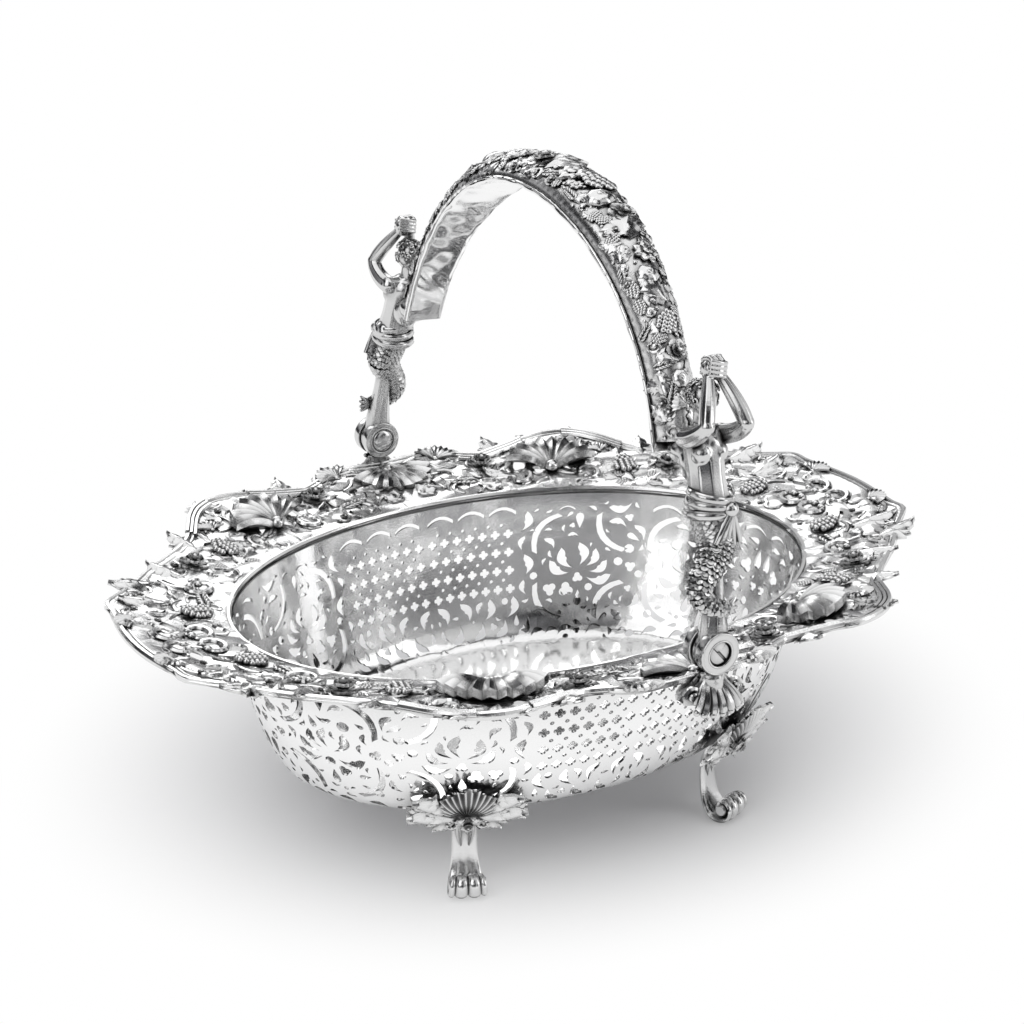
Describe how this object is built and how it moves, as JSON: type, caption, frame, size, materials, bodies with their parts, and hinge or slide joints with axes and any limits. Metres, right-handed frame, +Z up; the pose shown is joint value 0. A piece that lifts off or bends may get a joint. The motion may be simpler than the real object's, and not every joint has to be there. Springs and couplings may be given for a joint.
{
  "type": "cake basket",
  "caption": "Oval footed silver basket with pierced walls, an openwork cast border and an arched swing handle carried by two mermaid figures.",
  "frame": {"origin": "on the floor under the middle of the basket", "axes": "+X along the basket, +Y across it along the handle's hinge axis, +Z up"},
  "size_m": [0.376, 0.3046, 0.2992],
  "materials": {
    "polished_silver": "hand-polished sheet silver",
    "cast_silver": "chased cast silver, oxidised in the hollows",
    "figure_silver": "burnished cast silver"
  },
  "bodies": {
    "basket": {"bowl": "polished_silver", "rim_wire": "polished_silver", "border_back": "cast_silver", "border_front": "cast_silver", "border_right": "cast_silver", "border_left": "cast_silver", "corner_shell_back_right": "cast_silver", "corner_shell_back_left": "cast_silver", "corner_shell_front_right": "cast_silver", "corner_shell_front_left": "cast_silver", "border_roses": "cast_silver", "grape_bunches": "cast_silver", "tip_leaves": "cast_silver", "hinge_lug_back": "figure_silver", "hinge_lug_front": "figure_silver", "hinge_shell_back": "cast_silver", "hinge_shell_front": "cast_silver", "foot_leg_back_right": "cast_silver", "foot_leg_back_left": "cast_silver", "foot_leg_front_right": "cast_silver", "foot_leg_front_left": "cast_silver", "foot_shell_back_right": "cast_silver", "foot_shell_back_left": "cast_silver", "foot_shell_front_right": "cast_silver", "foot_shell_front_left": "cast_silver"},
    "handle": {"handle_strap": "cast_silver", "handle_liner": "polished_silver", "figure_back": "figure_silver", "figure_front": "figure_silver", "figure_arms_back": "figure_silver", "figure_arms_front": "figure_silver", "figure_tail_back": "figure_silver", "figure_tail_front": "figure_silver", "hinge_screw_back": "figure_silver", "hinge_screw_front": "figure_silver"}
  },
  "joints": [
    {"name": "handle_swing", "type": "hinge", "parent": "basket", "child": "handle", "pos_m": [0, 0, 0.1322], "axis": [0, 1, 0], "range_deg": [-82.8, 73.2]}
  ]
}
